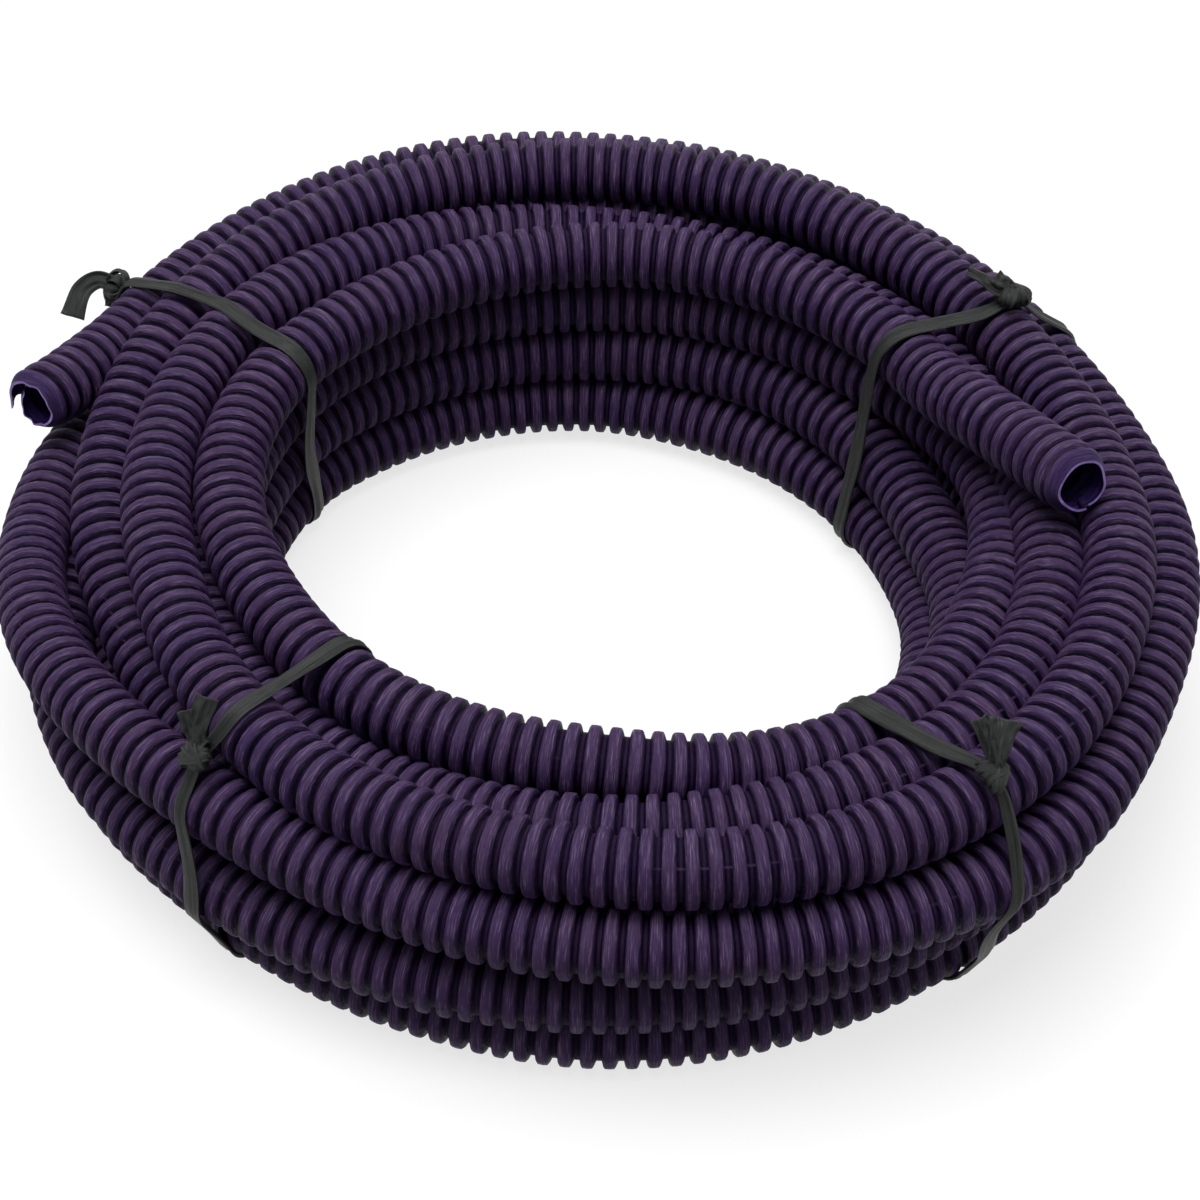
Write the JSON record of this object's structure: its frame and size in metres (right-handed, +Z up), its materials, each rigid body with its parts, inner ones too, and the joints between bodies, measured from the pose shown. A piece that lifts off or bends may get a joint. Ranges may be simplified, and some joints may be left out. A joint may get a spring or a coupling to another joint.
{
  "type": "corrugated conduit",
  "caption": "Hand-wound coil of split corrugated wiring conduit with two free cut ends, held by ribbon ties, for sleeving and protecting cables.",
  "frame": {"origin": "on the coil's own axis at floor level", "axes": "+Z up along the coil's axis, the coil lying flat on z = 0; -Y is the side that the free ends point towards; +X right"},
  "size_m": [0.231, 0.227, 0.0662],
  "materials": {
    "conduit": "dark purple polyethylene with a satin sheen",
    "tie": "charcoal plastic ribbon"
  },
  "bodies": {
    "root": {"conduit": "conduit", "tie_front_left": "tie", "tie_front_right": "tie", "tie_back_left": "tie", "tie_back_right": "tie"}
  },
  "joints": []
}
